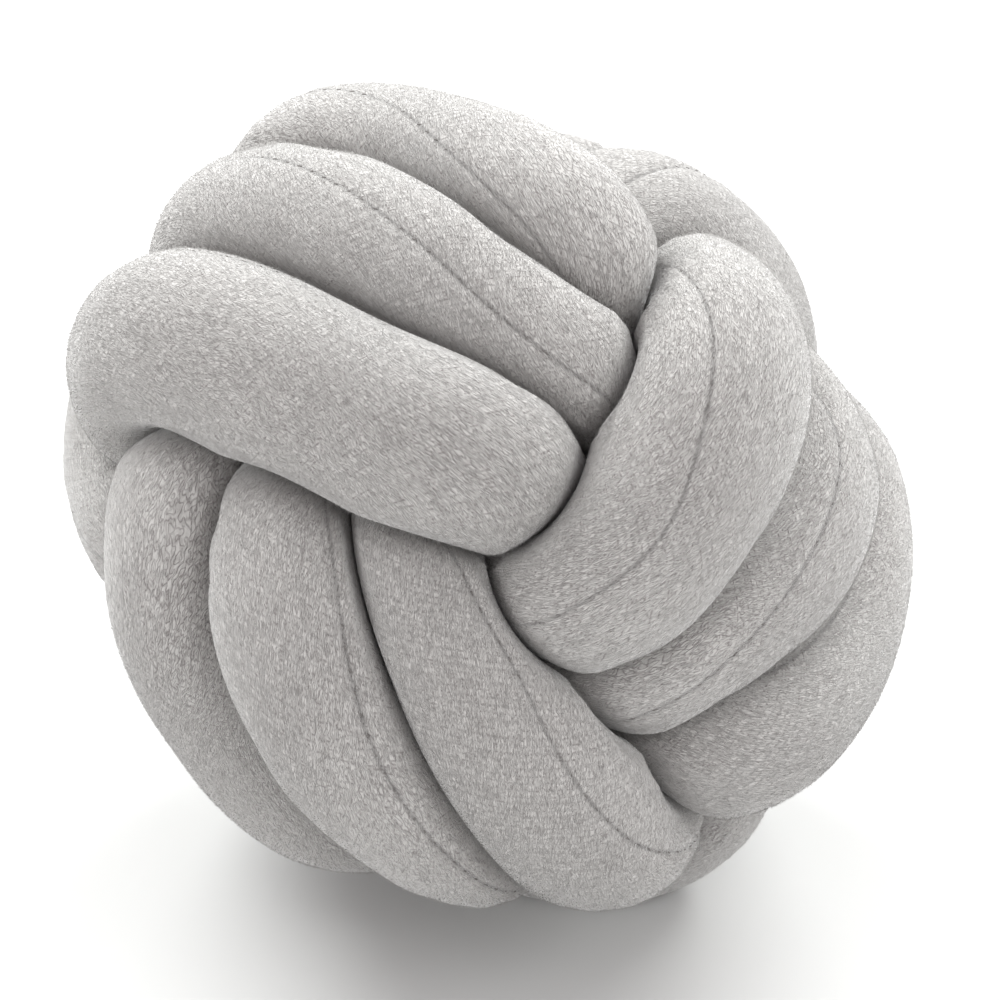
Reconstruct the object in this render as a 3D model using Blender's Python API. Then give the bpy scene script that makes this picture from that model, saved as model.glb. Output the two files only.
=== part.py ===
"""Knot cushion: one stuffed plush tube wound into a ball of three crossing sets of turns.

The ball has three face axes. Each set of turns runs long and outside over the two faces of
its own axis, and short and inside under the next set. All shape values below, except those
in metres, are in pitches: the spacing of neighbouring turns across a face.
"""
import math

import bmesh
import bpy
import numpy as np

# Driving sizes, in metres
PITCH = 0.0475
TURN_GAP = 0.0038
FLAT_DEPTH = 0.007

# Tube, in pitches
TUBE_RADIUS = 0.66
TIP_LENGTH = 0.6
SECTION_POWER = 7.0
BEND_LIMIT = 0.9
SAME_STRETCH = 0.6

# Stance of the first two face axes, as azimuth and elevation in degrees. The third axis
# closes a left-handed triad, which gives the knot its lay.
FIRST_AXIS = (-139.8, 63.7)
SECOND_AXIS = (-31.2, 9.0)

# One even loop of a set
OUTER_REACH = 2.0
INNER_REACH = 1.1
INNER_SPREAD = 0.55
CORNER_POWER = 8.0
SPREAD_START = -0.2
SPREAD_END = 0.8

# Walk along a set, in degrees: three turns, with a change of lane on the hidden side
FIRST_ANGLE = -60
LAST_ANGLE = 960
ANGLE_STEP = 15
CHANGE_ANGLE = 270
CHANGE_HALF = 55

# How far each pass over a face leaves its even lane. Shift, slant, bow, sway: place, tilt,
# curve and double curve across the face. Lift, tip, belly: height over the face, how it
# grows along the pass, and how it curves.
PASS_REACH = 92
PASS_FADE = 40
PASS_SCALE = 60
PASS_CLAMP = 1.3
PASSES = (
    # set, pass, shift, slant, bow, sway, lift, tip, belly
    (0, 0, 0.05, 0.25, 0.25, -0.20, 0.15, 0.00, -0.10),
    (0, 1, 0.00, 0.05, -0.05, 0.00, -0.10, 0.05, 0.00),
    (0, 2, -0.05, 0.45, 0.10, 0.00, 0.15, -0.35, -0.15),
    (0, 3, 0.00, 0.05, 0.00, 0.00, 0.10, -0.10, 0.00),
    (0, 4, 0.25, 0.65, 0.25, 0.20, -0.10, -0.15, -0.20),
    (0, 5, -0.05, 0.15, 0.00, 0.00, 0.00, 0.05, 0.00),
    (1, 0, 0.00, -0.05, -0.35, 0.00, -0.05, -0.20, -0.25),
    (1, 1, 0.00, 0.00, -0.05, 0.00, 0.00, -0.05, 0.00),
    (1, 2, -0.10, 0.35, 0.00, 0.00, -0.10, 0.15, 0.05),
    (1, 3, -0.05, 0.00, 0.00, 0.00, 0.00, -0.05, 0.00),
    (1, 4, -0.05, 0.20, 0.25, 0.10, 0.05, 0.20, 0.10),
    (1, 5, -0.05, 0.00, 0.00, 0.00, 0.00, 0.00, 0.00),
    (2, 0, -0.05, -0.30, -0.40, 0.10, -0.35, -0.25, 0.45),
    (2, 1, -0.15, 0.00, 0.00, 0.00, 0.00, 0.00, 0.00),
    (2, 2, 0.35, -0.55, -0.60, -0.15, 0.20, 0.40, -0.30),
    (2, 3, 0.00, -0.20, 0.00, 0.00, -0.05, 0.05, 0.00),
    (2, 4, 0.20, -0.15, -0.15, 0.05, 0.10, 0.50, -0.05),
    (2, 5, 0.00, -0.05, 0.00, 0.00, 0.00, -0.10, 0.00),
)

# Stretches inside the ball, along its three face axes
START_TAIL = ((0.35, 0.45, 0.35), (0.40, -0.50, 0.45))
SET_LINK = ((0.25, -0.20, -0.35), (0.45, 0.30, -0.40))
END_TAIL = ((-0.65, -0.50, -0.15), (-0.30, -0.30, 0.45))

# Settling of the turns against each other
SETTLE_POINTS = 380
SETTLE_ROUNDS = 30
SETTLE_SPACING = 0.70
SETTLE_STRETCH = 1.6
SETTLE_RATE = 0.45
SETTLE_SOFTNESS = 0.35
SETTLE_EASE = 0.08

# Mesh
ROUTE_POINTS = 1100
RING_COUNT = 350
RING_SIDES = 16
BEND_WEIGHT = 0.6

# Plush
PLUSH_COLOUR = (0.43, 0.41, 0.40, 1.0)
PLUSH_ROUGHNESS = 0.95


def smooth_step(value):
    value = np.clip(value, 0.0, 1.0)
    return value * value * (3.0 - 2.0 * value)


def even_loop(degrees, lane):
    """Radius and place across the face of an even loop."""
    angle = math.radians(degrees)
    openness = (math.cos(2 * angle) - SPREAD_START) / (SPREAD_END - SPREAD_START)
    across = lane * (INNER_SPREAD + (1 - INNER_SPREAD) * smooth_step(openness))
    outer = math.sqrt(OUTER_REACH ** 2 - across ** 2)
    inner = INNER_REACH / max(abs(math.sin(angle)), 1e-6)
    radius = (outer ** -CORNER_POWER + inner ** -CORNER_POWER) ** (-1 / CORNER_POWER)
    return radius, across


def lane_at(degrees):
    """Lane +1, 0 or -1, with a smooth change between two turns."""
    change = round((degrees - CHANGE_ANGLE) / 360)
    beyond = degrees - CHANGE_ANGLE - 360 * change
    if abs(beyond) < CHANGE_HALF and change in (0, 1):
        return 1 - change - smooth_step((beyond + CHANGE_HALF) / (2 * CHANGE_HALF))
    turn = math.floor((degrees + 90) / 360)
    return 1 - min(max(turn, 0), 2)


def pass_offset(set_number, degrees):
    """Offsets in radius and across the face from the table of passes."""
    radial = 0.0
    across = 0.0
    for row_set, row_pass, shift, slant, bow, sway, lift, tip, belly in PASSES:
        beyond = degrees - 180 * row_pass
        if row_set != set_number or abs(beyond) >= PASS_REACH:
            continue
        weight = smooth_step((PASS_REACH - abs(beyond)) / PASS_FADE)
        place = np.clip(beyond / PASS_SCALE, -PASS_CLAMP, PASS_CLAMP)
        curve = place ** 2 - 0.4
        double_curve = place ** 3 - 0.6 * place
        across += weight * (shift + slant * place + bow * curve + sway * double_curve)
        radial += weight * (lift + tip * place + belly * curve)
    return radial, across


def set_route(set_number):
    """Route points of one set along the three face axes."""
    points = []
    for degrees in range(FIRST_ANGLE, LAST_ANGLE + 1, ANGLE_STEP):
        radius, across = even_loop(degrees, lane_at(degrees))
        radial_offset, across_offset = pass_offset(set_number, degrees)
        radius += radial_offset
        angle = math.radians(degrees)
        point = (radius * math.cos(angle), radius * math.sin(angle), across + across_offset)
        points.append(np.roll(point, set_number))
    return points


def spline(points, steps):
    """Natural cubic curve through points, with a given number of steps in each span."""
    points = np.asarray(points, float)
    chords = np.linalg.norm(np.diff(points, axis=0), axis=1)
    knots = np.concatenate(([0.0], np.cumsum(np.sqrt(chords))))
    count = len(points)
    span = np.diff(knots)
    system = np.eye(count)
    bend = np.zeros((count, 3))
    for i in range(1, count - 1):
        system[i, i - 1] = span[i - 1]
        system[i, i] = 2 * (span[i - 1] + span[i])
        system[i, i + 1] = span[i]
        ahead = (points[i + 1] - points[i]) / span[i]
        behind = (points[i] - points[i - 1]) / span[i - 1]
        bend[i] = 6 * (ahead - behind)
    second = np.linalg.solve(system, bend)
    at = np.linspace(0.0, knots[-1], steps * (count - 1) + 1)
    index = np.clip(np.searchsorted(knots, at, side="right") - 1, 0, count - 2)
    width = span[index][:, None]
    left = (knots[index + 1] - at)[:, None]
    right = (at - knots[index])[:, None]
    curve = (second[index] * left ** 3 + second[index + 1] * right ** 3) / (6 * width)
    curve += (points[index] / width - second[index] * width / 6) * left
    curve += (points[index + 1] / width - second[index + 1] * width / 6) * right
    return curve


def walked_length(line):
    steps = np.linalg.norm(np.diff(line, axis=0), axis=1)
    return np.concatenate(([0.0], np.cumsum(steps)))


def spaced_evenly(line, count):
    """The line at evenly spaced points, with their distances along it."""
    length = walked_length(line)
    at = np.linspace(0.0, length[-1], count)
    return np.stack([np.interp(at, length, line[:, axis]) for axis in range(3)], 1), at


def settled(line, length):
    """The line once turns that lie too close have pushed apart and sharp bends have eased."""
    count = len(line)
    reach = int(math.ceil(3 * SETTLE_SOFTNESS / (length[-1] / (count - 1))))
    offsets = np.arange(-reach, reach + 1) * length[-1] / (count - 1)
    kernel = np.exp(-0.5 * (offsets / SETTLE_SOFTNESS) ** 2)
    kernel /= kernel.sum()
    other_turn = np.abs(length[:, None] - length[None]) > SETTLE_STRETCH
    moved = np.zeros_like(line)
    for _ in range(SETTLE_ROUNDS):
        now = line + moved
        squares = (now ** 2).sum(1)
        apart = np.sqrt(np.maximum(squares[:, None] + squares[None] - 2 * now @ now.T, 1e-12))
        lack = np.where(other_turn, np.maximum(0.0, SETTLE_SPACING - apart), 0.0)
        share = lack ** 3 / apart
        total = (lack ** 2).sum(1) + 1e-6
        push = (now * share.sum(1)[:, None] - share @ now) / total[:, None]
        for axis in range(3):
            padded = np.pad(push[:, axis], reach, mode="edge")
            moved[:, axis] += SETTLE_RATE * np.convolve(padded, kernel, "valid")
        now = line + moved
        moved[1:-1] += SETTLE_EASE * (now[2:] + now[:-2] - 2 * now[1:-1])
    return line + moved


def centre_line():
    """Centre line of the tube along the face axes, with distances along it."""
    points = list(START_TAIL)
    for set_number in range(3):
        points += set_route(set_number)
        if set_number < 2:
            points += [np.roll(point, set_number) for point in SET_LINK]
    points += list(END_TAIL)
    line, length = spaced_evenly(spline(points, 10), SETTLE_POINTS)
    return spaced_evenly(spline(settled(line, length), 6), ROUTE_POINTS)


def carried_frames(line):
    """Tangents and two sideways axes that turn as little as possible along the line."""
    tangent = np.gradient(line, axis=0)
    tangent /= np.linalg.norm(tangent, axis=1, keepdims=True)
    side = np.zeros_like(tangent)
    side[0] = np.cross(tangent[0], (0.0, 0.0, 1.0))
    side[0] /= np.linalg.norm(side[0])
    for i in range(1, len(line)):
        step = line[i] - line[i - 1]
        scale = 2 / (step @ step)
        side_mirror = side[i - 1] - scale * (step @ side[i - 1]) * step
        tangent_mirror = tangent[i - 1] - scale * (step @ tangent[i - 1]) * step
        turn = tangent[i] - tangent_mirror
        side[i] = side_mirror - 2 / max(turn @ turn, 1e-18) * (turn @ side_mirror) * turn
        side[i] -= tangent[i] * (side[i] @ tangent[i])
        side[i] /= np.linalg.norm(side[i])
    return tangent, side, np.cross(tangent, side)


def bends(line, length, tangent):
    """Curvature vectors along the line."""
    return np.gradient(tangent, axis=0) / np.gradient(length)[:, None]


def ring_places(length, curvature):
    """Indices of the rings, closer together where the tube bends."""
    density = 1.0 + BEND_WEIGHT * np.linalg.norm(curvature, axis=1)
    walked = np.concatenate(([0.0], np.cumsum(density[1:])))
    at = np.interp(np.linspace(0.0, walked[-1], RING_COUNT), walked, np.arange(len(length)))
    return np.unique(np.round(at).astype(int))


def tip_scale(length):
    """Rounds off both ends of the tube."""
    from_tip = np.minimum(length, length[-1] - length) / TIP_LENGTH
    return np.sqrt(np.maximum(1 - (1 - np.minimum(from_tip, 1.0)) ** 2, 0.0))


def ring_points(line, length):
    """Rings of surface points: a round tube pressed flat halfway to each other turn."""
    tangent, side, up = carried_frames(line)
    curvature = bends(line, length, tangent)
    rings = ring_places(length, curvature)[1:-1]
    turn = np.arange(RING_SIDES) / RING_SIDES * 2 * math.pi
    ways = np.cos(turn)[:, None] * side[rings, None] + np.sin(turn)[:, None] * up[rings, None]
    radii = []
    for ring, way in zip(rings, ways):
        other = line[np.abs(length - length[ring]) >= SAME_STRETCH] - line[ring]
        ahead = other @ way.T
        halfway = (other ** 2).sum(1)[:, None] / (2 * np.maximum(ahead, 1e-6))
        pressed = np.where(ahead > 1e-6, halfway, np.inf).min(0) - TURN_GAP / PITCH / 2
        inward = np.maximum(way @ curvature[ring], 1e-6)
        limits = TUBE_RADIUS ** -SECTION_POWER + pressed ** -SECTION_POWER
        limits += (BEND_LIMIT / inward) ** -SECTION_POWER
        radii.append(limits ** (-1 / SECTION_POWER))
    radii = np.array(radii) * tip_scale(length)[rings, None]
    return line[rings, None] + radii[..., None] * ways


def direction(azimuth, elevation):
    flat = math.cos(math.radians(elevation))
    east = flat * math.cos(math.radians(azimuth))
    north = flat * math.sin(math.radians(azimuth))
    return np.array((east, north, math.sin(math.radians(elevation))))


def stance():
    """The three face axes in the world, one in each row."""
    first = direction(*FIRST_AXIS)
    second = direction(*SECOND_AXIS)
    second -= first * (first @ second)
    second /= np.linalg.norm(second)
    return np.array((first, second, -np.cross(first, second)))


def rested(points):
    """Points pressed flat underneath, with the middle of the flat side's box at the origin."""
    floor = points[:, 2].min() + FLAT_DEPTH
    points[:, 2] = np.maximum(points[:, 2], floor) - floor
    middle = (points[:, :2].min(0) + points[:, :2].max(0)) / 2
    points[:, :2] -= middle
    return points


def tube_faces(rings, sides):
    """Quads between the rings and triangles to the two tips, which are the last points."""
    faces = []
    for ring in range(rings - 1):
        for side in range(sides):
            after = (side + 1) % sides
            here = ring * sides
            there = here + sides
            faces.append((here + side, here + after, there + after, there + side))
    last = (rings - 1) * sides
    for side in range(sides):
        after = (side + 1) % sides
        faces.append((rings * sides, after, side))
        faces.append((rings * sides + 1, last + side, last + after))
    return faces


def plush_material():
    material = bpy.data.materials.new("plush")
    material.use_nodes = True
    shader = material.node_tree.nodes["Principled BSDF"]
    shader.inputs["Base Color"].default_value = PLUSH_COLOUR
    shader.inputs["Roughness"].default_value = PLUSH_ROUGHNESS
    shader.inputs["Metallic"].default_value = 0.0
    material.diffuse_color = PLUSH_COLOUR
    return material


def knotted_tube():
    """The one piece of the cushion."""
    line, length = centre_line()
    rings = ring_points(line, length)
    points = np.concatenate((rings.reshape(-1, 3), line[[0, -1]]))
    points = rested(points @ stance() * PITCH)
    mesh = bpy.data.meshes.new("knotted_tube")
    mesh.from_pydata(points.tolist(), [], tube_faces(len(rings), RING_SIDES))
    work = bmesh.new()
    work.from_mesh(mesh)
    level = [face for face in work.faces if all(v.co.z < 1e-7 for v in face.verts)]
    bmesh.ops.dissolve_faces(work, faces=level)
    bmesh.ops.recalc_face_normals(work, faces=work.faces)
    work.to_mesh(mesh)
    work.free()
    mesh.shade_smooth()
    mesh.materials.append(plush_material())
    tube = bpy.data.objects.new("knotted_tube", mesh)
    bpy.context.scene.collection.objects.link(tube)
    return tube


for leftover in list(bpy.data.objects):
    bpy.data.objects.remove(leftover)
knotted_tube()
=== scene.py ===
"""Looks of the knot cushion: one stuffed plush tube, with its sewn seam and its short pile."""
import math

import bpy
import numpy as np
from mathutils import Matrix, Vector
from mathutils.bvhtree import BVHTree


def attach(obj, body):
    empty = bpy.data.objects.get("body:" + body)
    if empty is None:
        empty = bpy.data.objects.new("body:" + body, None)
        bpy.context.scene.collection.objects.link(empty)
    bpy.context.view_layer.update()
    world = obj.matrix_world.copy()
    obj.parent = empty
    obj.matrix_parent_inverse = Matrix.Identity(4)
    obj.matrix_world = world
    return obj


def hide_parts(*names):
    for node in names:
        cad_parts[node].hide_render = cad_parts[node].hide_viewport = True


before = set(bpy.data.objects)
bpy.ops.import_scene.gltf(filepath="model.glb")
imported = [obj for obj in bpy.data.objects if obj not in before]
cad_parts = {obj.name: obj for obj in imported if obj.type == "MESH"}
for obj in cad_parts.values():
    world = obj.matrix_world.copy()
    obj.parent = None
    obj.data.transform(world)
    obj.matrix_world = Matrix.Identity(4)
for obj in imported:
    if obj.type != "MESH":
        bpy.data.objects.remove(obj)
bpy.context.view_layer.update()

# Driving sizes of the knot, in metres. The shape values below them are in pitches: the
# spacing of neighbouring turns across a face.
PITCH = 0.0475
FLAT_DEPTH = 0.007
TUBE_RADIUS = 0.66
TIP_LENGTH = 0.6
SECTION_POWER = 7.0
BEND_LIMIT = 0.9
SAME_STRETCH = 0.6

# Stance of the first two face axes, as azimuth and elevation in degrees, found by the same
# search as the passes below
FIRST_AXIS = (-139.8, 63.7)
SECOND_AXIS = (-31.2, 9.0)

# One even loop of a set
OUTER_REACH = 2.0
INNER_REACH = 1.1
INNER_SPREAD = 0.55
CORNER_POWER = 8.0
SPREAD_START = -0.2
SPREAD_END = 0.8

# Walk along a set, in degrees
FIRST_ANGLE = -60
LAST_ANGLE = 960
ANGLE_STEP = 15
CHANGE_ANGLE = 270
CHANGE_HALF = 55

# How far each pass over a face leaves its even lane. Shift, slant, bow, sway: place, tilt,
# curve and double curve across the face. Lift, tip, belly: height over the face, how it
# grows along the pass, and how it curves. The values come from a search in steps of 0.05
# that fitted the tube's edges to the photograph.
PASS_REACH = 92
PASS_FADE = 40
PASS_SCALE = 60
PASS_CLAMP = 1.3
PASSES = (
    # set, pass, shift, slant, bow, sway, lift, tip, belly
    (0, 0, 0.05, 0.25, 0.25, -0.20, 0.15, 0.00, -0.10),
    (0, 1, 0.00, 0.05, -0.05, 0.00, -0.10, 0.05, 0.00),
    (0, 2, -0.05, 0.45, 0.10, 0.00, 0.15, -0.35, -0.15),
    (0, 3, 0.00, 0.05, 0.00, 0.00, 0.10, -0.10, 0.00),
    (0, 4, 0.25, 0.65, 0.25, 0.20, -0.10, -0.15, -0.20),
    (0, 5, -0.05, 0.15, 0.00, 0.00, 0.00, 0.05, 0.00),
    (1, 0, 0.00, -0.05, -0.35, 0.00, -0.05, -0.20, -0.25),
    (1, 1, 0.00, 0.00, -0.05, 0.00, 0.00, -0.05, 0.00),
    (1, 2, -0.10, 0.35, 0.00, 0.00, -0.10, 0.15, 0.05),
    (1, 3, -0.05, 0.00, 0.00, 0.00, 0.00, -0.05, 0.00),
    (1, 4, -0.05, 0.20, 0.25, 0.10, 0.05, 0.20, 0.10),
    (1, 5, -0.05, 0.00, 0.00, 0.00, 0.00, 0.00, 0.00),
    (2, 0, -0.05, -0.30, -0.40, 0.10, -0.35, -0.25, 0.45),
    (2, 1, -0.15, 0.00, 0.00, 0.00, 0.00, 0.00, 0.00),
    (2, 2, 0.35, -0.55, -0.60, -0.15, 0.20, 0.40, -0.30),
    (2, 3, 0.00, -0.20, 0.00, 0.00, -0.05, 0.05, 0.00),
    (2, 4, 0.20, -0.15, -0.15, 0.05, 0.10, 0.50, -0.05),
    (2, 5, 0.00, -0.05, 0.00, 0.00, 0.00, -0.10, 0.00),
)

# Stretches inside the ball, along its three face axes, from a search that kept them apart
START_TAIL = ((0.35, 0.45, 0.35), (0.40, -0.50, 0.45))
SET_LINK = ((0.25, -0.20, -0.35), (0.45, 0.30, -0.40))
END_TAIL = ((-0.65, -0.50, -0.15), (-0.30, -0.30, 0.45))

# Settling of the turns against each other
SETTLE_POINTS = 380
SETTLE_ROUNDS = 30
SETTLE_SPACING = 0.70
SETTLE_STRETCH = 1.6
SETTLE_RATE = 0.45
SETTLE_SOFTNESS = 0.35
SETTLE_EASE = 0.08

# The solid that the cushion was packed as, which sets where the knot stands
SOLID_GAP = 0.0038
SOLID_RINGS = 350
SOLID_SIDES = 16
SOLID_BEND_WEIGHT = 0.6
SOLID_ROUTE_POINTS = 1100

# The finer tube that is shown
TURN_GAP = 0.0004
GIRTH = 2 * math.pi * TUBE_RADIUS * PITCH
STITCH_STEP = 0.0045
SEAM_SPACES = (0.0007, 0.0008, 0.0011, 0.0017)
SIDE_SPACES = 12

# Where the seam lies on each pass, in degrees round the tube from its outermost line, at
# five places along the pass. Passes with odd numbers are on the hidden side. Where the
# photograph shows the seam, on passes 2 and 4 of set 0 and passes 0 and 2 of sets 1 and 2,
# the angles were measured by casting points of it onto the tube. The rest are chosen.
SEAM_STATIONS = (-40, -20, 0, 20, 40)
SEAM_PLACES = (
    # set, pass, and the seam's angle at each station
    (0, 0, (50, 55, 65, 70, 70)),
    (0, 1, (45, 35, 25, 25, 28)),
    (0, 2, (20, 14, 9, -3, -13)),
    (0, 3, (-20, -28, -35, -25, -10)),
    (0, 4, (12, 2, -13, -36, -52)),
    (0, 5, (-50, -45, -40, -35, -35)),
    (1, 0, (-72, -64, -33, -9, -14)),
    (1, 1, (0, 15, 25, 20, 0)),
    (1, 2, (-60, -45, -26, -6, 8)),
    (1, 3, (25, 20, 10, 0, -20)),
    (1, 4, (-65, -70, -75, -78, -80)),
    (1, 5, (-65, -50, -40, -35, -40)),
    (2, 0, (-62, -47, -33, -35, -51)),
    (2, 1, (-25, -10, 5, 10, 5)),
    (2, 2, (-12, -18, -22, -33, -58)),
    (2, 3, (-30, -15, 0, 15, 35)),
    (2, 4, (60, 65, 70, 65, 55)),
    (2, 5, (35, 25, 15, 5, 0)),
)
SEAM_EASE = 0.35

# Seam groove, deeper and shallower along the tube, with a wide pucker between the stitches
SEAM_DEPTH = 0.0013
SEAM_WIDTH = 0.0026
SEAM_MEAN = 0.8
SEAM_CHANGE = 0.3
SEAM_CHANGE_LENGTH = 0.05
PUCKER_DEPTH = 0.4
PUCKER_SHARE = 0.45
PUCKER_WIDTH = 0.0070
FREE_START = 0.5
TIP_FROM_SEAM = 0.05

# Stitches, each along its heading with a narrow sunk end on both sides
STITCH_LENGTH = 0.0021
STITCH_LENGTHS = (0.5, 1.1)
STITCH_RADIUS = 0.00022
STITCH_SIDES = 5
STITCH_STATIONS = (
    # share of the half length, share of the radius, height
    (-1.0, 0.35, -0.00035),
    (-0.6, 1.0, 0.0),
    (0.6, 1.0, 0.0),
    (1.0, 0.35, -0.00035),
)
STITCH_FREE = 0.4
STITCH_SKEW = 0.16
STITCH_RISE = 0.6
STITCH_SUNK = 0.5
STITCH_SINK = 0.4
STITCH_CHANGE = 0.030
STITCH_HIDDEN = 0.9
THREAD_COLOUR = (0.14, 0.13, 0.125, 1.0)
THREAD_MOTTLE = (0.15, 0.003)

# Stuffing lumps and dents
LUMP_HEIGHT = 0.0003
LUMP_SIZE = 0.030

# Pile. A mottle is the spread of a colour and the size of its patches.
PILE_LENGTH = 0.0018
PILE_LENGTHS = (0.7, 1.15)
PILE_SHORTEST = 0.0004
PILE_WIDTH = 0.00018
PILE_LEAN = 70
PILE_LEAN_SPREAD = 4
LEAN_LIMITS = (40, 84)
PILE_ROLL_SPREAD = 8
PILE_TURN_SPREAD = 0.06
PILE_ROOTING = 0.0002
PILE_COUNT = 110000
PILE_THROUGH = 0.4
PILE_MOTTLE = (0.05, 0.012)
PILE_SHADES = (
    # name, red, green, blue, from the gaps between the locks up to their crests: darker towards
    # the gaps as painted shade between the locks
    ("pile_gap_painted_shade", 0.335, 0.320, 0.317),
    ("pile_warm", 0.398, 0.385, 0.381),
    ("pile_even", 0.426, 0.416, 0.409),
    ("pile_pale", 0.448, 0.442, 0.435),
)

# Where the pile grows: less in the grooves and in the seam, and not on the underside
LOOK_START = 0.0008
LOOK_FACING = 0.05
HIDDEN_SHARE = 0.4
SEAM_BARE = 0.0006
SEAM_BARE_SHARE = 0.5
SEAM_ROOM = 0.0002
UNDERSIDE_BARE = 0.0012
FLOOR_ROOM = 0.0003

# Lie of the pile over the tube: heading from the tube's length in degrees, and how it drifts
NAP_HEADING = -30
NAP_DRIFT = 0.0045
NAP_DRIFT_SIZE = 0.060
NAP_WAVE = 0.0004
NAP_WAVE_SIZE = 0.009
NAP_SWAY = 0.022
NAP_SWAY_LENGTH = 0.120
NAP_STEP = 0.0002

# Locks that the fibres gather into
LOCK_WAVES = 40
LOCK_SPACING = 0.0011
LOCK_LENGTH = 0.0040
LOCK_DRAW = 0.22
LOCK_LIFT = 3
LOCK_BLEND = 0.5
LOCK_RELIEF = 0.3
SEAM_PARTING = 0.85

# Streaks of the plush under the loose fibres
STREAK_WIDTH = 0.0010
STREAK_LENGTH = 0.0036
STREAK_GAP = 0.10
STREAK_RELIEF = 0.0003
FINE_SCALE = 0.45
FINE_SHARE = 0.6
# Colour in the gaps between the locks, darker as painted shade, up to the plush's own colour on
# the crests
GROUND_GAP_PAINTED_SHADE = (0.208, 0.194, 0.191, 1.0)
GROUND_CREST = (0.440, 0.429, 0.421, 1.0)
# Painted shade in the seam groove: the colour is darkened to this share near the seam
SEAM_PAINTED_SHADE = 0.62
SEAM_PAINTED_SHADE_START = 0.0002
SEAM_PAINTED_SHADE_END = 0.0011

# The photograph's view. The elevation is chosen. The distance, the scale and the centre come
# from the search that gave the passes.
VIEW_ELEVATION = 28.0
VIEW_DISTANCE = 24.273
VIEW_SCALE = 149.94
FRAME_SIDE = 1000
CENTRE_COLUMN = 486.3
CENTRE_ROW = 494.1
SENSOR_WIDTH = 36.0

# Floor
FLOOR_SIDE = 8.0
FLOOR_COLOUR = (0.58, 0.58, 0.58, 1.0)

# Studio light. The lamps started from a least-squares fit to the photograph's tones.
SKY_STRENGTH = 0.92
SKY_COLOUR = (1.0, 0.955, 0.955, 1.0)
LAMP_COLOUR = (0.97, 1.0, 0.98)
LAMP_DISTANCE = 1.8
LAMP_SIZE = 1.3
LAMPS = (
    # name, azimuth, elevation, watts
    ("back_left_lamp", 135, 45, 46.0),
    ("back_right_lamp", 45, 45, 43.0),
    ("front_left_lamp", 215, 8, 12.0),
    ("front_right_lamp", 325, 25, 13.0),
)


def smooth_step(value):
    value = np.clip(value, 0.0, 1.0)
    return value * value * (3.0 - 2.0 * value)


def even_loop(degrees, lane):
    """Radius and place across the face of an even loop."""
    angle = math.radians(degrees)
    openness = (math.cos(2 * angle) - SPREAD_START) / (SPREAD_END - SPREAD_START)
    across = lane * (INNER_SPREAD + (1 - INNER_SPREAD) * smooth_step(openness))
    outer = math.sqrt(OUTER_REACH ** 2 - across ** 2)
    inner = INNER_REACH / max(abs(math.sin(angle)), 1e-6)
    radius = (outer ** -CORNER_POWER + inner ** -CORNER_POWER) ** (-1 / CORNER_POWER)
    return radius, across


def lane_at(degrees):
    """Lane +1, 0 or -1, with a smooth change between two turns."""
    change = round((degrees - CHANGE_ANGLE) / 360)
    beyond = degrees - CHANGE_ANGLE - 360 * change
    if abs(beyond) < CHANGE_HALF and change in (0, 1):
        return 1 - change - smooth_step((beyond + CHANGE_HALF) / (2 * CHANGE_HALF))
    turn = math.floor((degrees + 90) / 360)
    return 1 - min(max(turn, 0), 2)


def pass_offset(set_number, degrees):
    """Offsets in radius and across the face from the table of passes."""
    radial = 0.0
    across = 0.0
    for row_set, row_pass, shift, slant, bow, sway, lift, tip, belly in PASSES:
        beyond = degrees - 180 * row_pass
        if row_set != set_number or abs(beyond) >= PASS_REACH:
            continue
        weight = smooth_step((PASS_REACH - abs(beyond)) / PASS_FADE)
        place = np.clip(beyond / PASS_SCALE, -PASS_CLAMP, PASS_CLAMP)
        curve = place ** 2 - 0.4
        double_curve = place ** 3 - 0.6 * place
        across += weight * (shift + slant * place + bow * curve + sway * double_curve)
        radial += weight * (lift + tip * place + belly * curve)
    return radial, across


def set_route(set_number):
    """Route points of one set along the three face axes."""
    points = []
    for degrees in range(FIRST_ANGLE, LAST_ANGLE + 1, ANGLE_STEP):
        radius, across = even_loop(degrees, lane_at(degrees))
        radial_offset, across_offset = pass_offset(set_number, degrees)
        radius += radial_offset
        angle = math.radians(degrees)
        point = (radius * math.cos(angle), radius * math.sin(angle), across + across_offset)
        points.append(np.roll(point, set_number))
    return points


def spline(points, steps):
    """Natural cubic curve through points, with a given number of steps in each span."""
    points = np.asarray(points, float)
    chords = np.linalg.norm(np.diff(points, axis=0), axis=1)
    knots = np.concatenate(([0.0], np.cumsum(np.sqrt(chords))))
    count = len(points)
    span = np.diff(knots)
    system = np.eye(count)
    bend = np.zeros((count, 3))
    for i in range(1, count - 1):
        system[i, i - 1] = span[i - 1]
        system[i, i] = 2 * (span[i - 1] + span[i])
        system[i, i + 1] = span[i]
        ahead = (points[i + 1] - points[i]) / span[i]
        behind = (points[i] - points[i - 1]) / span[i - 1]
        bend[i] = 6 * (ahead - behind)
    second = np.linalg.solve(system, bend)
    at = np.linspace(0.0, knots[-1], steps * (count - 1) + 1)
    index = np.clip(np.searchsorted(knots, at, side="right") - 1, 0, count - 2)
    width = span[index][:, None]
    left = (knots[index + 1] - at)[:, None]
    right = (at - knots[index])[:, None]
    curve = (second[index] * left ** 3 + second[index + 1] * right ** 3) / (6 * width)
    curve += (points[index] / width - second[index] * width / 6) * left
    curve += (points[index + 1] / width - second[index + 1] * width / 6) * right
    return curve


def walked_length(line):
    steps = np.linalg.norm(np.diff(line, axis=0), axis=1)
    return np.concatenate(([0.0], np.cumsum(steps)))


def spaced_evenly(line, count):
    """The line at evenly spaced points, with their distances along it."""
    length = walked_length(line)
    at = np.linspace(0.0, length[-1], count)
    return np.stack([np.interp(at, length, line[:, axis]) for axis in range(3)], 1), at


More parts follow.
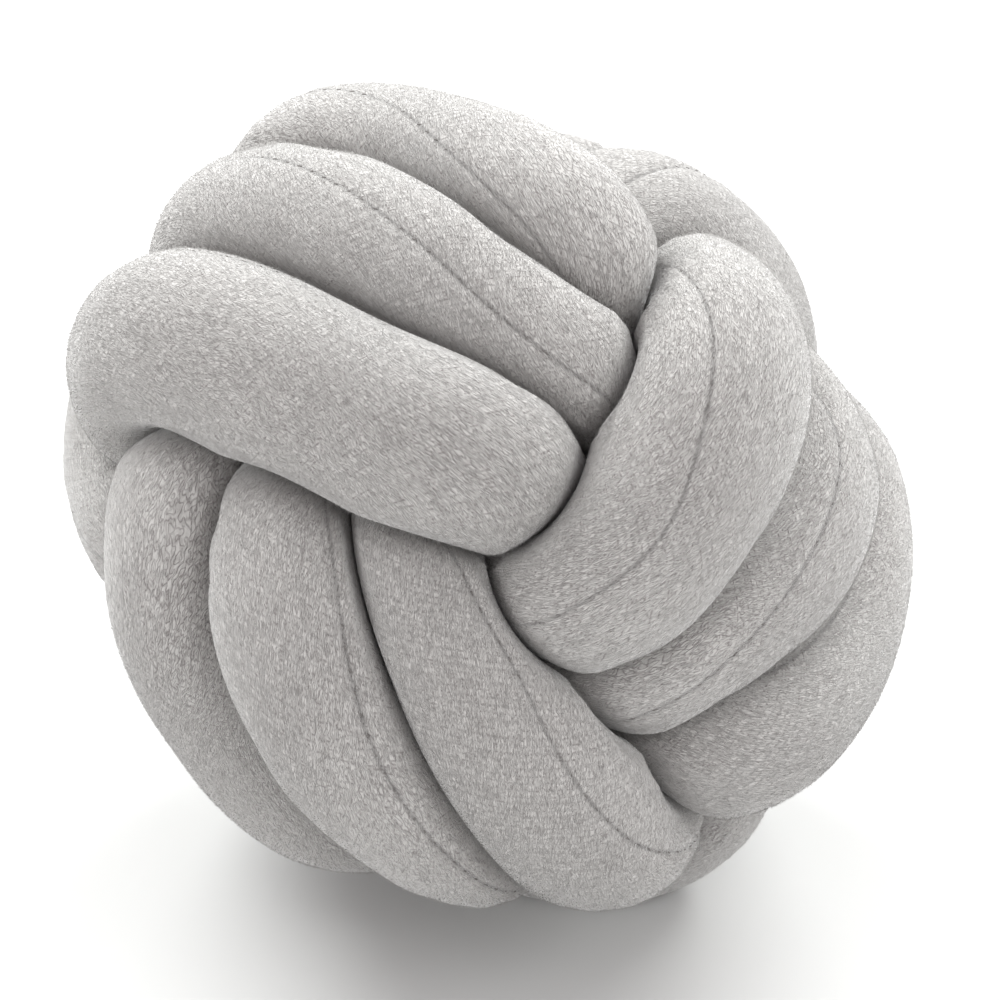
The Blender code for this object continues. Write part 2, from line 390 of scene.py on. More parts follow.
def settled(line, length):
    """The line once turns that lie too close have pushed apart and sharp bends have eased."""
    count = len(line)
    reach = int(math.ceil(3 * SETTLE_SOFTNESS / (length[-1] / (count - 1))))
    offsets = np.arange(-reach, reach + 1) * length[-1] / (count - 1)
    kernel = np.exp(-0.5 * (offsets / SETTLE_SOFTNESS) ** 2)
    kernel /= kernel.sum()
    other_turn = np.abs(length[:, None] - length[None]) > SETTLE_STRETCH
    moved = np.zeros_like(line)
    for _ in range(SETTLE_ROUNDS):
        now = line + moved
        squares = (now ** 2).sum(1)
        apart = np.sqrt(np.maximum(squares[:, None] + squares[None] - 2 * now @ now.T, 1e-12))
        lack = np.where(other_turn, np.maximum(0.0, SETTLE_SPACING - apart), 0.0)
        share = lack ** 3 / apart
        total = (lack ** 2).sum(1) + 1e-6
        push = (now * share.sum(1)[:, None] - share @ now) / total[:, None]
        for axis in range(3):
            padded = np.pad(push[:, axis], reach, mode="edge")
            moved[:, axis] += SETTLE_RATE * np.convolve(padded, kernel, "valid")
        now = line + moved
        moved[1:-1] += SETTLE_EASE * (now[2:] + now[:-2] - 2 * now[1:-1])
    return line + moved


def settled_route():
    """The settled route along the face axes, and the set and angle that each point came from."""
    points = list(START_TAIL)
    origins = [(-1, 0)] * len(START_TAIL)
    for set_number in range(3):
        points += set_route(set_number)
        angles = range(FIRST_ANGLE, LAST_ANGLE + 1, ANGLE_STEP)
        origins += [(set_number, degrees) for degrees in angles]
        if set_number < 2:
            points += [np.roll(point, set_number) for point in SET_LINK]
            origins += [(-1, 0)] * len(SET_LINK)
    points += list(END_TAIL)
    origins += [(-1, 0)] * len(END_TAIL)
    curve = spline(points, 10)
    line, length = spaced_evenly(curve, SETTLE_POINTS)
    shares = walked_length(curve)[::10] / length[-1]
    return spline(settled(line, length), 6), origins, shares


def carried_frames(line):
    """Tangents and two sideways axes that turn as little as possible along the line."""
    tangent = np.gradient(line, axis=0)
    tangent /= np.linalg.norm(tangent, axis=1, keepdims=True)
    side = np.zeros_like(tangent)
    side[0] = np.cross(tangent[0], (0.0, 0.0, 1.0))
    side[0] /= np.linalg.norm(side[0])
    for i in range(1, len(line)):
        step = line[i] - line[i - 1]
        scale = 2 / (step @ step)
        side_mirror = side[i - 1] - scale * (step @ side[i - 1]) * step
        tangent_mirror = tangent[i - 1] - scale * (step @ tangent[i - 1]) * step
        turn = tangent[i] - tangent_mirror
        side[i] = side_mirror - 2 / max(turn @ turn, 1e-18) * (turn @ side_mirror) * turn
        side[i] -= tangent[i] * (side[i] @ tangent[i])
        side[i] /= np.linalg.norm(side[i])
    return tangent, side, np.cross(tangent, side)


def tip_scale(length):
    """Rounds off both ends of the tube."""
    from_tip = np.minimum(length, length[-1] - length) / TIP_LENGTH
    return np.sqrt(np.maximum(1 - (1 - np.minimum(from_tip, 1.0)) ** 2, 0.0))


def pressed_radii(line, length, curvature, rings, ways, gap):
    """Radii of a round tube that is pressed flat halfway to each other turn, and how free
    each point is: 1 where nothing presses on it."""
    radii = []
    freedom = []
    for ring, way in zip(rings, ways):
        other = line[np.abs(length - length[ring]) >= SAME_STRETCH] - line[ring]
        ahead = other @ way.T
        halfway = (other ** 2).sum(1)[:, None] / (2 * np.maximum(ahead, 1e-6))
        pressed = np.where(ahead > 1e-6, halfway, np.inf).min(0) - gap / PITCH / 2
        inward = np.maximum(way @ curvature[ring], 1e-6)
        own = TUBE_RADIUS ** -SECTION_POWER + (BEND_LIMIT / inward) ** -SECTION_POWER
        limits = own + pressed ** -SECTION_POWER
        radii.append(limits ** (-1 / SECTION_POWER))
        freedom.append(own / limits)
    scale = tip_scale(length)[rings, None]
    return np.array(radii) * scale, np.array(freedom)


def direction(azimuth, elevation):
    flat = math.cos(math.radians(elevation))
    east = flat * math.cos(math.radians(azimuth))
    north = flat * math.sin(math.radians(azimuth))
    return np.array((east, north, math.sin(math.radians(elevation))))


def stance():
    """The three face axes in the world, one in each row."""
    first = direction(*FIRST_AXIS)
    second = direction(*SECOND_AXIS)
    second -= first * (first @ second)
    second /= np.linalg.norm(second)
    return np.array((first, second, -np.cross(first, second)))


def solid_shift(route):
    """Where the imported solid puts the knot's centre, found from the solid's own rings."""
    line, length = spaced_evenly(route, SOLID_ROUTE_POINTS)
    tangent, side, up = carried_frames(line)
    curvature = np.gradient(tangent, axis=0) / np.gradient(length)[:, None]
    density = 1.0 + SOLID_BEND_WEIGHT * np.linalg.norm(curvature, axis=1)
    walked = np.concatenate(([0.0], np.cumsum(density[1:])))
    at = np.interp(np.linspace(0.0, walked[-1], SOLID_RINGS), walked, np.arange(len(length)))
    rings = np.unique(np.round(at).astype(int))[1:-1]
    turn = np.arange(SOLID_SIDES) / SOLID_SIDES * 2 * math.pi
    ways = np.cos(turn)[:, None] * side[rings, None] + np.sin(turn)[:, None] * up[rings, None]
    radii, _ = pressed_radii(line, length, curvature, rings, ways, SOLID_GAP)
    points = (line[rings, None] + radii[..., None] * ways) @ stance() * PITCH
    points = points.reshape(-1, 3)
    low = points.min(0)
    high = points.max(0)
    return np.array((-(low[0] + high[0]) / 2, -(low[1] + high[1]) / 2, -low[2] - FLAT_DEPTH))


def soft_noise(points, size, seed, waves=24):
    """Smooth random values of about -1 to 1 over space, with features of about that size."""
    random = np.random.default_rng(seed)
    pushes = random.normal(size=(waves, 3)) * 2.2 / size
    phases = random.uniform(0, 2 * math.pi, waves)
    total = np.zeros(points.shape[:-1])
    for push, phase in zip(pushes, phases):
        total += np.sin(points @ push + phase)
    return total * math.sqrt(2 / waves)


def along_noise(along, size, seed):
    """Smooth random values along the tube."""
    return soft_noise(np.stack((along, along * 0, along * 0), 1), size, seed)


def seam_angles(line, length, side, up, tangent, origins, shares):
    """Angle of the seam round the tube at each point, in the carried frames."""
    outward = line - tangent * (line * tangent).sum(1)[:, None]
    crest = np.unwrap(np.arctan2((outward * up).sum(1), (outward * side).sum(1)))
    stations = []
    angles = []
    marks = []
    for set_number in range(3):
        own = [(at[1], share) for at, share in zip(origins, shares) if at[0] == set_number]
        marks.append(tuple(zip(*own)))
    for set_number, pass_number, places in SEAM_PLACES:
        for beyond, place in zip(SEAM_STATIONS, places):
            share = np.interp(180 * pass_number + beyond, *marks[set_number])
            index = int(round(share * (len(line) - 1)))
            angle = crest[index] + math.radians(place)
            if angles:
                angle -= 2 * math.pi * round((angle - angles[-1]) / (2 * math.pi))
            stations.append(length[index])
            angles.append(angle)
    smooth = np.interp(length, stations, angles)
    reach = int(round(SEAM_EASE / (length[1] - length[0])))
    kernel = np.hanning(2 * reach + 3)[1:-1]
    return np.convolve(np.pad(smooth, reach, mode="edge"), kernel / kernel.sum(), "valid")


def side_offsets():
    """Angles round the tube from the seam: close together beside it, wider further off."""
    near = np.concatenate(([0.0], np.cumsum(SEAM_SPACES))) / (TUBE_RADIUS * PITCH)
    far = np.linspace(near[-1], math.pi, SIDE_SPACES + 1)[1:]
    half = np.concatenate((near, far))
    return np.concatenate((half, -half[-2:0:-1]))


def make_mesh(name, points, counts, corners):
    """A mesh of faces given as corner counts and one long row of corner indices."""
    mesh = bpy.data.meshes.new(name)
    mesh.vertices.add(len(points))
    mesh.vertices.foreach_set("co", np.asarray(points, np.float32).ravel())
    mesh.loops.add(len(corners))
    mesh.loops.foreach_set("vertex_index", np.asarray(corners, np.int32))
    mesh.polygons.add(len(counts))
    starts = np.concatenate(([0], np.cumsum(counts)[:-1])).astype(np.int32)
    mesh.polygons.foreach_set("loop_start", starts)
    mesh.polygons.foreach_set("use_smooth", np.full(len(counts), True))
    mesh.update(calc_edges=True)
    mesh.validate()
    return mesh


def show(mesh, material):
    mesh.materials.append(material)
    piece = bpy.data.objects.new(mesh.name, mesh)
    bpy.context.scene.collection.objects.link(piece)
    return piece


def build_surface():
    """The shown tube as a grid of points, with what the seam, stitches and pile need."""
    route, origins, shares = settled_route()
    shift = solid_shift(route)
    count = int(round(walked_length(route)[-1] * PITCH / (STITCH_STEP / 2))) // 2 * 2 + 1
    ring_line, ring_length = spaced_evenly(route, count)
    tangent, side, up = carried_frames(ring_line)
    curvature = np.gradient(tangent, axis=0) / np.gradient(ring_length)[:, None]
    seam = seam_angles(ring_line, ring_length, side, up, tangent, origins, shares)
    offsets = side_offsets()
    angles = seam[:, None] + offsets[None]
    ways = np.cos(angles)[..., None] * side[:, None] + np.sin(angles)[..., None] * up[:, None]
    rings = np.arange(1, count - 1)
    radii, freedom = pressed_radii(
        ring_line, ring_length, curvature, rings, ways[rings], TURN_GAP)
    world = stance()
    rough = (ring_line[rings, None] + radii[..., None] * ways[rings]) @ world * PITCH
    free = smooth_step((freedom - FREE_START) / (1 - FREE_START))
    lumps = soft_noise(rough, LUMP_SIZE, 3) * LUMP_HEIGHT
    across = offsets * TUBE_RADIUS * PITCH
    along = ring_length[rings] * PITCH
    stitched = 1 - PUCKER_SHARE * (np.arange(len(rings)) % 2)
    strength = SEAM_MEAN + SEAM_CHANGE * along_noise(along, SEAM_CHANGE_LENGTH, 5)
    groove = (1 - PUCKER_DEPTH) * np.exp(-(across / SEAM_WIDTH) ** 2)
    pucker = PUCKER_DEPTH * np.exp(-(across / PUCKER_WIDTH) ** 2)
    depth = SEAM_DEPTH * strength[:, None] * (groove + pucker * stitched[:, None])
    height = free * (lumps - depth)
    points = rough + (ways[rings] @ world) * height[..., None]
    points += shift
    points[..., 2] = np.maximum(points[..., 2], 0.0)
    tips = ring_line[[0, -1]] @ world * PITCH + shift
    step = points[:, 1] - points[:, 0]
    handed = (np.cross((ways @ world)[rings, 0], (tangent @ world)[rings]) * step).sum(1)
    turning = np.sign(handed.mean())
    return {
        "points": points,
        "tips": tips,
        "along": along,
        "across": across,
        "tangent": (tangent @ world)[rings],
        "free": free,
        "shift": shift,
        "turning": turning,
    }


def grid_normals(points):
    """Outward normals of the ring grid."""
    along = np.gradient(points, axis=0)
    around = np.roll(points, -1, axis=1) - np.roll(points, 1, axis=1)
    normal = np.cross(around, along)
    normal /= np.maximum(np.linalg.norm(normal, axis=2, keepdims=True), 1e-12)
    centre = points.mean(axis=1, keepdims=True)
    flip = np.sign(((points - centre) * normal).sum())
    return normal * flip


def grid_quads(rings, sides):
    """Corner indices of the faces between neighbouring rings."""
    ring = np.arange(rings - 1)[:, None]
    here = np.arange(sides)[None]
    after = (here + 1) % sides
    quads = np.stack((ring * sides + here, ring * sides + after,
                      (ring + 1) * sides + after, (ring + 1) * sides + here), -1)
    return quads.reshape(-1, 4)


def plush_tube(surface):
    """The shown tube, with each point's distance from the seam and its place in the nap."""
    rings, sides, _ = surface["points"].shape
    quads = grid_quads(rings, sides)
    last = (rings - 1) * sides
    side = np.arange(sides)
    next_side = (side + 1) % sides
    start_cap = np.stack((np.full(sides, rings * sides), next_side, side), -1)
    end_cap = np.stack((np.full(sides, rings * sides + 1), last + side, last + next_side), -1)
    corners = np.concatenate((quads.ravel(), start_cap.ravel(), end_cap.ravel()))
    counts = [4] * ((rings - 1) * sides) + [3] * (2 * sides)
    points = np.concatenate((surface["points"].reshape(-1, 3), surface["tips"]))
    mesh = make_mesh("plush_tube", points, counts, corners)
    from_seam = np.abs(np.tile(surface["across"], rings))
    values = np.concatenate((from_seam, (TIP_FROM_SEAM, TIP_FROM_SEAM))).astype(np.float32)
    mesh.attributes.new("from_seam", "FLOAT", "POINT").data.foreach_set("value", values)
    along = np.append(np.repeat(surface["along"], sides), surface["along"][[0, -1]])
    across = unrolled(np.append(np.tile(surface["across"], rings), (0, 0))[corners], counts)
    along = along[corners]
    nap = np.stack((across_nap(along, across), lengthways_nap(along, across), 0 * along), 1)
    data = mesh.attributes.new("nap", "FLOAT_VECTOR", "CORNER").data
    data.foreach_set("vector", nap.astype(np.float32).ravel())
    return show(mesh, plush_material())


def exposed_quads(surface, normals):
    """The grid's quads, and the share of open sky over each of them, from 0 to 1."""
    points = surface["points"]
    rings, sides, _ = points.shape
    quads = grid_quads(rings, sides)
    flat = points.reshape(-1, 3)
    tree = BVHTree.FromPolygons(flat.tolist(), quads.tolist())
    middle = flat[quads].mean(1)
    normal = normals.reshape(-1, 3)[quads].mean(1)
    outward = middle - surface["shift"]
    outward /= np.linalg.norm(outward, axis=1, keepdims=True)
    open_share = np.zeros(len(quads))
    looks = (outward, normal, outward + normal)
    for look in looks:
        look = look / np.maximum(np.linalg.norm(look, axis=1, keepdims=True), 1e-9)
        facing = (look * normal).sum(1) > LOOK_FACING
        for index in np.nonzero(facing)[0]:
            start = Vector(middle[index] + normal[index] * LOOK_START)
            hit = tree.ray_cast(start, Vector(look[index]))[0]
            open_share[index] += hit is None
    return quads, open_share / len(looks)


def across_nap(along, across):
    """Distance across the lie of the pile at places along and round the tube, in metres."""
    heading = math.radians(NAP_HEADING)
    places = np.stack((along, across, 0 * along), -1)
    drift = NAP_DRIFT * soft_noise(places, NAP_DRIFT_SIZE, 8)
    drift += NAP_WAVE * soft_noise(places, NAP_WAVE_SIZE, 9)
    drift += NAP_SWAY * np.sin(along / NAP_SWAY_LENGTH)
    return across * math.cos(heading) - along * math.sin(heading) + drift


def lengthways_nap(along, across):
    """Distance along the lie of the pile, in metres."""
    heading = math.radians(NAP_HEADING)
    return along * math.cos(heading) + across * math.sin(heading)


def unrolled(across, counts):
    """Places round the tube at face corners, without the jump opposite the seam."""
    starts = np.concatenate(([0], np.cumsum(counts)[:-1]))
    first = np.repeat(across[starts], counts)
    return first + (across - first + GIRTH / 2) % GIRTH - GIRTH / 2


def nap_direction(along, across):
    """The lie of the pile as parts along and round the tube, square to the lines of nap."""
    step = NAP_STEP
    here = across_nap(along, across)
    rise_along = (across_nap(along + step, across) - here) / step
    rise_across = (across_nap(along, across + step) - here) / step
    size = np.hypot(rise_along, rise_across)
    return rise_across / size, -rise_along / size


def lock_height(along, across, aside=0.0):
    """How far the pile rises into a lock, from about -1 in a gap to 1 on a crest."""
    random = np.random.default_rng(11)
    crossways = across_nap(along, across) + aside
    lengthways = lengthways_nap(along, across)
    total = np.zeros(len(along))
    for _ in range(LOCK_WAVES):
        narrow = 2 * math.pi / LOCK_SPACING * random.normal(1, 0.3)
        long = 2 * math.pi / LOCK_LENGTH * random.normal(0, 0.7)
        total += np.sin(crossways * narrow + lengthways * long + random.uniform(0, 2 * math.pi))
    return total * math.sqrt(2 / LOCK_WAVES)


def fibre_places(surface, normals):
    """Roots of the pile over all that shows, each with its surroundings on the tube."""
    random = np.random.default_rng(20)
    points = surface["points"].reshape(-1, 3)
    quads, open_share = exposed_quads(surface, normals)
    rings, sides, _ = surface["points"].shape
    corner = points[quads]
    diagonals = np.cross(corner[:, 2] - corner[:, 0], corner[:, 3] - corner[:, 1])
    area = 0.5 * np.linalg.norm(diagonals, axis=1)
    across = np.tile(surface["across"], rings)
    along = np.repeat(surface["along"], sides)
    chance = area * np.where(open_share > 0, HIDDEN_SHARE + (1 - HIDDEN_SHARE) * open_share, 0.0)
    chance *= np.where(np.abs(across[quads]).mean(1) < SEAM_BARE, SEAM_BARE_SHARE, 1.0)
    chance[corner[..., 2].max(1) < UNDERSIDE_BARE] = 0
    count = PILE_COUNT * len(PILE_SHADES)
    picked = quads[random.choice(len(quads), count, p=chance / chance.sum())]
    u, v = random.random((2, count))
    weights = np.stack(((1 - u) * (1 - v), (1 - u) * v, u * v, u * (1 - v)), 1)

    def blended(values):
        return (weights[..., None] * values[picked]).sum(1)

    normal = blended(normals.reshape(-1, 3))
    normal /= np.linalg.norm(normal, axis=1, keepdims=True)
    tangent = blended(np.repeat(surface["tangent"], sides, axis=0))
    tangent -= normal * (tangent * normal).sum(1)[:, None]
    tangent /= np.linalg.norm(tangent, axis=1, keepdims=True)
    around = unrolled(across[picked].ravel(), [4] * count).reshape(-1, 4)
    return {
        "root": blended(points),
        "normal": normal,
        "tangent": tangent,
        "outward": np.cross(normal, tangent) * surface["turning"],
        "along": (weights * along[picked]).sum(1),
        "across": (weights * around).sum(1),
    }


def pile_pieces(surface):
    """The pile: many fine leaning fibres that gather into small locks."""
    place = fibre_places(surface, grid_normals(surface["points"]))
    random = np.random.default_rng(21)
    count = len(place["root"])
    along = place["along"]
    across = place["across"]
    normal = place["normal"]
    rise = lock_height(along, across)
    slope = lock_height(along, across, LOCK_SPACING / 8)
    slope -= lock_height(along, across, -LOCK_SPACING / 8)
    forward, sideways = nap_direction(along, across)
    turn = LOCK_DRAW * np.clip(slope, -1, 1) + random.normal(0, PILE_TURN_SPREAD, count)
    part_along = np.cos(turn) * forward - np.sin(turn) * sideways
    part_outward = np.cos(turn) * sideways + np.sin(turn) * forward
    lie = part_along[:, None] * place["tangent"] + part_outward[:, None] * place["outward"]
    lean = PILE_LEAN - LOCK_LIFT * rise + random.normal(0, PILE_LEAN_SPREAD, count)
    lean = np.radians(np.clip(lean, *LEAN_LIMITS))
    size = PILE_LENGTH * random.uniform(*PILE_LENGTHS, count)
    stride = np.sin(lean) * part_outward
    crossing = (across * (across + size * stride) < 0) & (random.random(count) < SEAM_PARTING)
    room = np.abs(across) / np.maximum(np.abs(stride), 1e-6)
    size = np.where(crossing, np.minimum(size, np.maximum(room - SEAM_ROOM, PILE_SHORTEST)), size)
    reach = np.cos(lean)[:, None] * normal + np.sin(lean)[:, None] * lie
    roll = np.radians(random.normal(0, PILE_ROLL_SPREAD, count))[:, None]
    flat_way = np.cross(lie, normal)
    width = (np.cos(roll) * flat_way + np.sin(roll) * np.cross(flat_way, reach)) * PILE_WIDTH / 2
    crossing_way = forward[:, None] * place["outward"] - sideways[:, None] * place["tangent"]
    shown_normal = normal - LOCK_RELIEF * slope[:, None] * crossing_way
    shown_normal /= np.linalg.norm(shown_normal, axis=1, keepdims=True)
    tip = place["root"] + reach * size[:, None]
    root = place["root"] - PILE_ROOTING * normal
    # Fibres take the shades by lock height, with some random spread, so the darker ones lie in
    # the gaps as painted shade between the locks
    rank = np.argsort(rise + random.normal(0, LOCK_BLEND, count))
    pieces = []
    for number, (name, red, green, blue) in enumerate(PILE_SHADES):
        own = rank[number * PILE_COUNT:(number + 1) * PILE_COUNT]
        own = own[tip[own, 2] > FLOOR_ROOM]
        fibres = np.stack((root[own] - width[own], root[own] + width[own], tip[own]), 1)
        fibres = fibres.reshape(-1, 3)
        mesh = make_mesh(name, fibres, [3] * len(own), np.arange(len(fibres)))
        mesh.normals_split_custom_set(np.repeat(shown_normal[own], 3, axis=0))
        pieces.append(show(mesh, pile_material(name, (red, green, blue, 1.0))))
    return pieces


def seam_stitches(surface):
    """Thread showing along the seam, one short stitch at every second ring."""
    points = surface["points"][:, 0]
    normals = grid_normals(surface["points"])[:, 0]
    tangent = surface["tangent"]
    around = np.cross(normals, tangent)
    sides = STITCH_SIDES
    turn = np.arange(sides) / sides * 2 * math.pi
    places = np.nonzero(surface["free"][:, 0] > STITCH_FREE)[0]
    places = places[places % 2 == 1]
    along = surface["along"][places]
    sunk = 0.5 + 0.5 * along_noise(along, STITCH_CHANGE, 6)
    all_points = []
    corners = []
    counts = []
    random = np.random.default_rng(4)
    for place, depth in zip(places, sunk):
        if depth > STITCH_HIDDEN:
            continue
        skew = random.normal(0, STITCH_SKEW)
        heading = tangent[place] + around[place] * skew
        heading /= np.linalg.norm(heading)
        sideways = np.cross(normals[place], heading)
        base = len(all_points)
        length = STITCH_LENGTH * random.uniform(*STITCH_LENGTHS)
        sink = STITCH_RADIUS * (STITCH_SUNK * max(depth, 0.0) + random.uniform(0.0, STITCH_SINK))
        for share, swell, drop in STITCH_STATIONS:
            middle = points[place] + heading * share * length / 2
            middle = middle + normals[place] * (drop + STITCH_RADIUS * STITCH_RISE - sink)
            for angle in turn:
                ring = sideways * math.cos(angle) + normals[place] * math.sin(angle)
                all_points.append(middle + ring * STITCH_RADIUS * swell)
        for station in range(len(STITCH_STATIONS) - 1):
            for side in range(sides):
                here = base + station * sides
                after = (side + 1) % sides
                corners += [here + side, here + after, here + sides + after, here + sides + side]
                counts.append(4)
        end = base + (len(STITCH_STATIONS) - 1) * sides
        corners += [base + side for side in reversed(range(sides))]
        corners += [end + side for side in range(sides)]
        counts += [sides, sides]
    mesh = make_mesh("seam_stitches", all_points, counts, corners)
    return show(mesh, thread_material())


def new_material(name):
    material = bpy.data.materials.new(name)
    material.use_nodes = True
    return material, material.node_tree, material.node_tree.nodes["Principled BSDF"]


def mottled_colour(tree, colour, spread, size):
    """A colour that drifts a little lighter and darker over the surface."""
    coordinates = tree.nodes.new("ShaderNodeTexCoord")
    noise = tree.nodes.new("ShaderNodeTexNoise")
    noise.inputs["Scale"].default_value = 1 / size
    noise.inputs["Detail"].default_value = 3.0
    tree.links.new(coordinates.outputs["Object"], noise.inputs["Vector"])
    ramp = tree.nodes.new("ShaderNodeValToRGB")
    ramp.color_ramp.elements[0].position = 0.3
    ramp.color_ramp.elements[1].position = 0.7
    dark = [channel * (1 - spread) for channel in colour[:3]]
    light = [channel * (1 + spread) for channel in colour[:3]]
    ramp.color_ramp.elements[0].color = (dark[0], dark[1], dark[2], 1.0)
    ramp.color_ramp.elements[1].color = (light[0], light[1], light[2], 1.0)
    tree.links.new(noise.outputs["Fac"], ramp.inputs["Fac"])
    return ramp.outputs["Color"]


def streaked_nap(tree, width, length, detail):
    """Height of locks along the lie of the pile: 1 on them and 0 in the thin gaps between."""
    nap = tree.nodes.new("ShaderNodeAttribute")
    nap.attribute_name = "nap"
    stretch = tree.nodes.new("ShaderNodeMapping")
    stretch.inputs["Scale"].default_value = (1 / width, 1 / length, 1.0)
    tree.links.new(nap.outputs["Vector"], stretch.inputs["Vector"])
    noise = tree.nodes.new("ShaderNodeTexNoise")
    noise.inputs["Scale"].default_value = 1.0
    noise.inputs["Detail"].default_value = detail
    tree.links.new(stretch.outputs["Vector"], noise.inputs["Vector"])
    off_middle = tree.nodes.new("ShaderNodeMath")
    off_middle.operation = "SUBTRACT"
    off_middle.inputs[1].default_value = 0.5
    tree.links.new(noise.outputs["Fac"], off_middle.inputs[0])
    from_gap = tree.nodes.new("ShaderNodeMath")
    from_gap.operation = "ABSOLUTE"
    tree.links.new(off_middle.outputs["Value"], from_gap.inputs[0])
    rise = tree.nodes.new("ShaderNodeMapRange")
    rise.interpolation_type = "SMOOTHSTEP"
    rise.inputs["From Min"].default_value = 0.0
    rise.inputs["From Max"].default_value = STREAK_GAP
    tree.links.new(from_gap.outputs["Value"], rise.inputs["Value"])
    return rise.outputs["Result"]


def mixed(tree, kind, factor, first, second, blend="MIX"):
    """A Mix node's result. Kind is FLOAT or RGBA."""
    mix = tree.nodes.new("ShaderNodeMix")
    mix.data_type = kind
    mix.blend_type = blend
    names = {"FLOAT": ("Factor_Float", "A_Float", "B_Float"),
             "RGBA": ("Factor_Float", "A_Color", "B_Color")}[kind]
    sockets = [next(own for own in mix.inputs if own.identifier == name) for name in names]
    sockets[0].default_value = factor
    tree.links.new(first, sockets[1])
    tree.links.new(second, sockets[2])
    result = {"FLOAT": "Result_Float", "RGBA": "Result_Color"}[kind]
    return next(own for own in mix.outputs if own.identifier == result)


def plush_material():
    """The plush under the loose fibres: fine locks with painted shade in the gaps between them,
    and painted shade in the seam groove.
    """
    material, tree, shader = new_material("plush_ground")
    broad = streaked_nap(tree, STREAK_WIDTH, STREAK_LENGTH, 1.0)
    fine = streaked_nap(tree, STREAK_WIDTH * FINE_SCALE, STREAK_LENGTH * FINE_SCALE, 0.0)
    height = mixed(tree, "FLOAT", FINE_SHARE, broad, fine)
    # Colour from painted shade in the gaps between the locks up to the plush's colour on the
    # crests
    ramp = tree.nodes.new("ShaderNodeValToRGB")
    ramp.color_ramp.elements[0].color = GROUND_GAP_PAINTED_SHADE
    ramp.color_ramp.elements[1].color = GROUND_CREST
    tree.links.new(height, ramp.inputs["Fac"])
    # Painted shade: the colour is darker near the seam, in its groove
    seam = tree.nodes.new("ShaderNodeAttribute")
    seam.attribute_name = "from_seam"
    near = tree.nodes.new("ShaderNodeMapRange")
    near.inputs["From Min"].default_value = SEAM_PAINTED_SHADE_START
    near.inputs["From Max"].default_value = SEAM_PAINTED_SHADE_END
    near.inputs["To Min"].default_value = SEAM_PAINTED_SHADE
    near.inputs["To Max"].default_value = 1.0
    tree.links.new(seam.outputs["Fac"], near.inputs["Value"])
    shade = mixed(tree, "RGBA", 1.0, ramp.outputs["Color"], near.outputs["Result"], "MULTIPLY")
    tree.links.new(shade, shader.inputs["Base Color"])
    bump = tree.nodes.new("ShaderNodeBump")
    bump.inputs["Strength"].default_value = 1.0
    bump.inputs["Distance"].default_value = STREAK_RELIEF
    tree.links.new(height, bump.inputs["Height"])
    tree.links.new(bump.outputs["Normal"], shader.inputs["Normal"])
    shader.inputs["Roughness"].default_value = 0.95
    shader.inputs["Specular IOR Level"].default_value = 0.1
    shader.inputs["Sheen Weight"].default_value = 0.8
    shader.inputs["Sheen Roughness"].default_value = 0.35
    return material


def pile_material(name, colour):
    material, tree, shader = new_material(name)
    shade = mottled_colour(tree, colour, *PILE_MOTTLE)
    tree.links.new(shade, shader.inputs["Base Color"])
    shader.inputs["Roughness"].default_value = 0.8
    shader.inputs["Specular IOR Level"].default_value = 0.2
    shader.inputs["Sheen Weight"].default_value = 0.5
    shader.inputs["Sheen Roughness"].default_value = 0.35
    through = tree.nodes.new("ShaderNodeBsdfTranslucent")
    tree.links.new(shade, through.inputs["Color"])
    both = tree.nodes.new("ShaderNodeMixShader")
    both.inputs["Fac"].default_value = PILE_THROUGH
    tree.links.new(shader.outputs["BSDF"], both.inputs[1])
    tree.links.new(through.outputs["BSDF"], both.inputs[2])
    tree.links.new(both.outputs["Shader"], tree.nodes["Material Output"].inputs["Surface"])
    return material


def thread_material():
    material, tree, shader = new_material("seam_thread")
    shade = mottled_colour(tree, THREAD_COLOUR, *THREAD_MOTTLE)
    tree.links.new(shade, shader.inputs["Base Color"])
    shader.inputs["Roughness"].default_value = 0.6
    return material


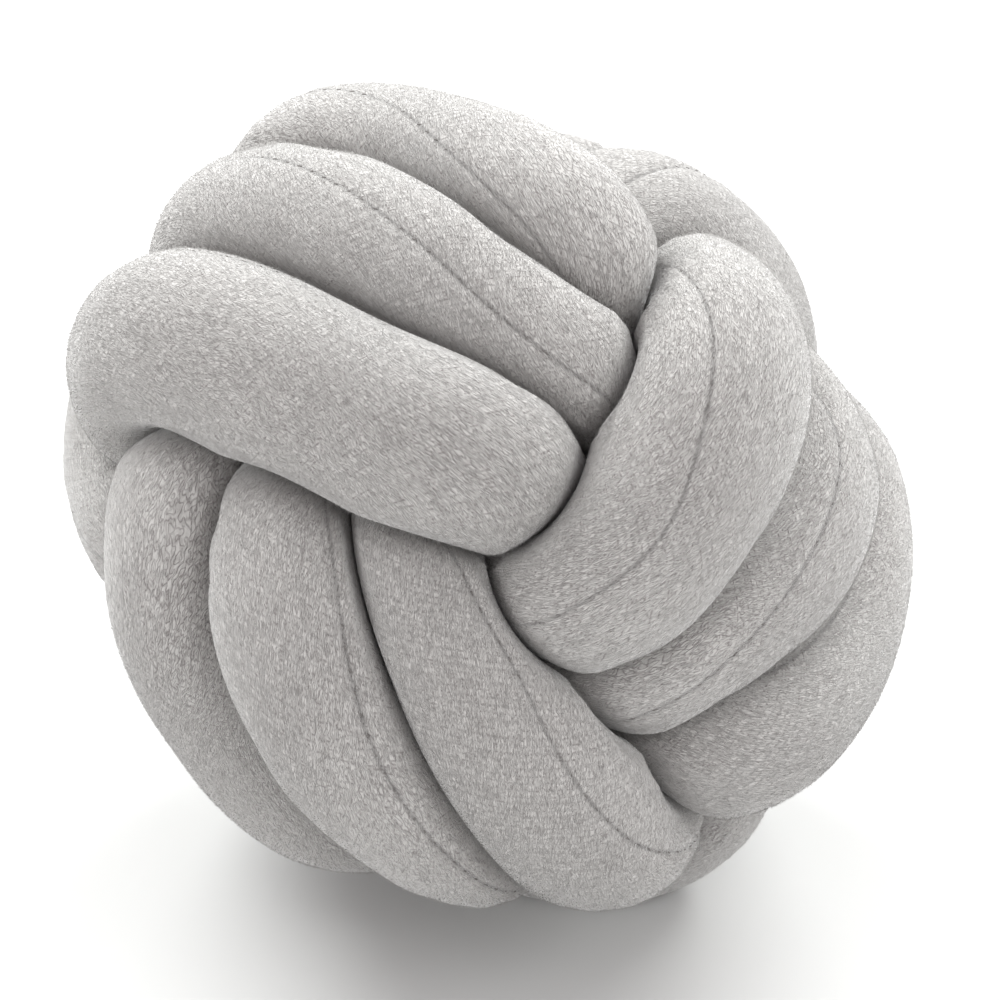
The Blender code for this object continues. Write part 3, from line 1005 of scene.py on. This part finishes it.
def pale_floor():
    mesh = bpy.data.meshes.new("floor")
    half = FLOOR_SIDE / 2
    mesh.from_pydata([(-half, -half, 0), (half, -half, 0), (half, half, 0), (-half, half, 0)],
                     [], [(0, 1, 2, 3)])
    material, tree, shader = new_material("floor_paint")
    shader.inputs["Base Color"].default_value = FLOOR_COLOUR
    shader.inputs["Roughness"].default_value = 0.9
    shader.inputs["Specular IOR Level"].default_value = 0.1
    floor = show(mesh, material)


def area_light(name, place, target, watts):
    light = bpy.data.lights.new(name, "AREA")
    light.shape = "DISK"
    light.size = LAMP_SIZE
    light.energy = watts
    light.color = LAMP_COLOUR
    lamp = bpy.data.objects.new(name, light)
    lamp.location = place
    lamp.rotation_euler = (Vector(target) - Vector(place)).to_track_quat("-Z", "Y").to_euler()
    bpy.context.scene.collection.objects.link(lamp)


def studio(surface_middle):
    world = bpy.data.worlds.new("studio")
    world.use_nodes = True
    background = world.node_tree.nodes["Background"]
    background.inputs["Color"].default_value = SKY_COLOUR
    background.inputs["Strength"].default_value = SKY_STRENGTH
    bpy.context.scene.world = world
    middle = Vector(surface_middle)
    for name, azimuth, elevation, watts in LAMPS:
        place = middle + Vector(direction(azimuth, elevation)) * LAMP_DISTANCE
        area_light(name, place, middle, watts)
    bpy.context.scene.view_settings.view_transform = "Standard"
    bpy.context.scene.view_settings.look = "None"


def camera_at(centre):
    camera = bpy.data.cameras.new("camera")
    camera.sensor_width = SENSOR_WIDTH
    camera.lens = VIEW_SCALE * VIEW_DISTANCE * SENSOR_WIDTH / FRAME_SIDE
    camera.shift_x = (FRAME_SIDE / 2 - CENTRE_COLUMN) / FRAME_SIDE
    camera.shift_y = (CENTRE_ROW - FRAME_SIDE / 2) / FRAME_SIDE
    tilt = math.radians(VIEW_ELEVATION)
    away = Vector((0.0, -math.cos(tilt), math.sin(tilt))) * VIEW_DISTANCE * PITCH
    holder = bpy.data.objects.new("camera", camera)
    holder.location = Vector(centre) + away
    holder.rotation_euler = (math.pi / 2 - tilt, 0.0, 0.0)
    bpy.context.scene.collection.objects.link(holder)
    bpy.context.scene.camera = holder


surface = build_surface()
tube = plush_tube(surface)
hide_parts("knotted_tube")
for piece in [tube, seam_stitches(surface)] + pile_pieces(surface):
    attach(piece, "root")
pale_floor()
studio(surface["shift"])
camera_at(surface["shift"])
